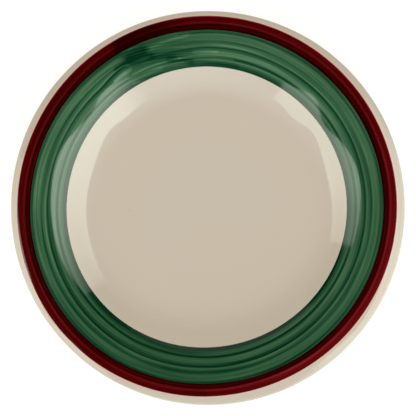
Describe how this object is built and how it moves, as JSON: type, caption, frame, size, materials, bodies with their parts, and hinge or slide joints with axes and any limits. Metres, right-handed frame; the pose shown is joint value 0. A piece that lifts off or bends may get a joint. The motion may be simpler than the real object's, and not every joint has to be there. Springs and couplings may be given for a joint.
{
  "type": "china dinner plate",
  "caption": "Round rimmed dinner plate in cream-glazed earthenware, with a wide brushed green ring and a narrower burgundy ring, standing on a turned foot ring.",
  "frame": {"origin": "centre of the foot ring, on the plane that the plate stands on", "axes": "+Z up along the plate's axis; the plate is round, so X and Y follow only its painting: both rings are about 1 mm off centre towards -X and +Y and slightly out of round, and their brush laps lie up and to the left as seen from above with +Y up"},
  "size_m": [0.267, 0.267, 0.0244],
  "materials": {
    "biscuit": "bare fired clay, fine and gritty, where the foot was wiped clean",
    "cream_glaze": "glossy cream glaze with a faint orange-peel and a few specks",
    "green_paint": "green brushed on in turns of the wheel, streaky, under gloss",
    "burgundy_paint": "dark red brushed on in turns of the wheel, under gloss"
  },
  "bodies": {
    "root": {"clay_body": "biscuit", "well_glaze": "cream_glaze", "green_band": "green_paint", "burgundy_band": "burgundy_paint", "rim_glaze": "cream_glaze", "base_glaze": "cream_glaze"}
  },
  "joints": []
}
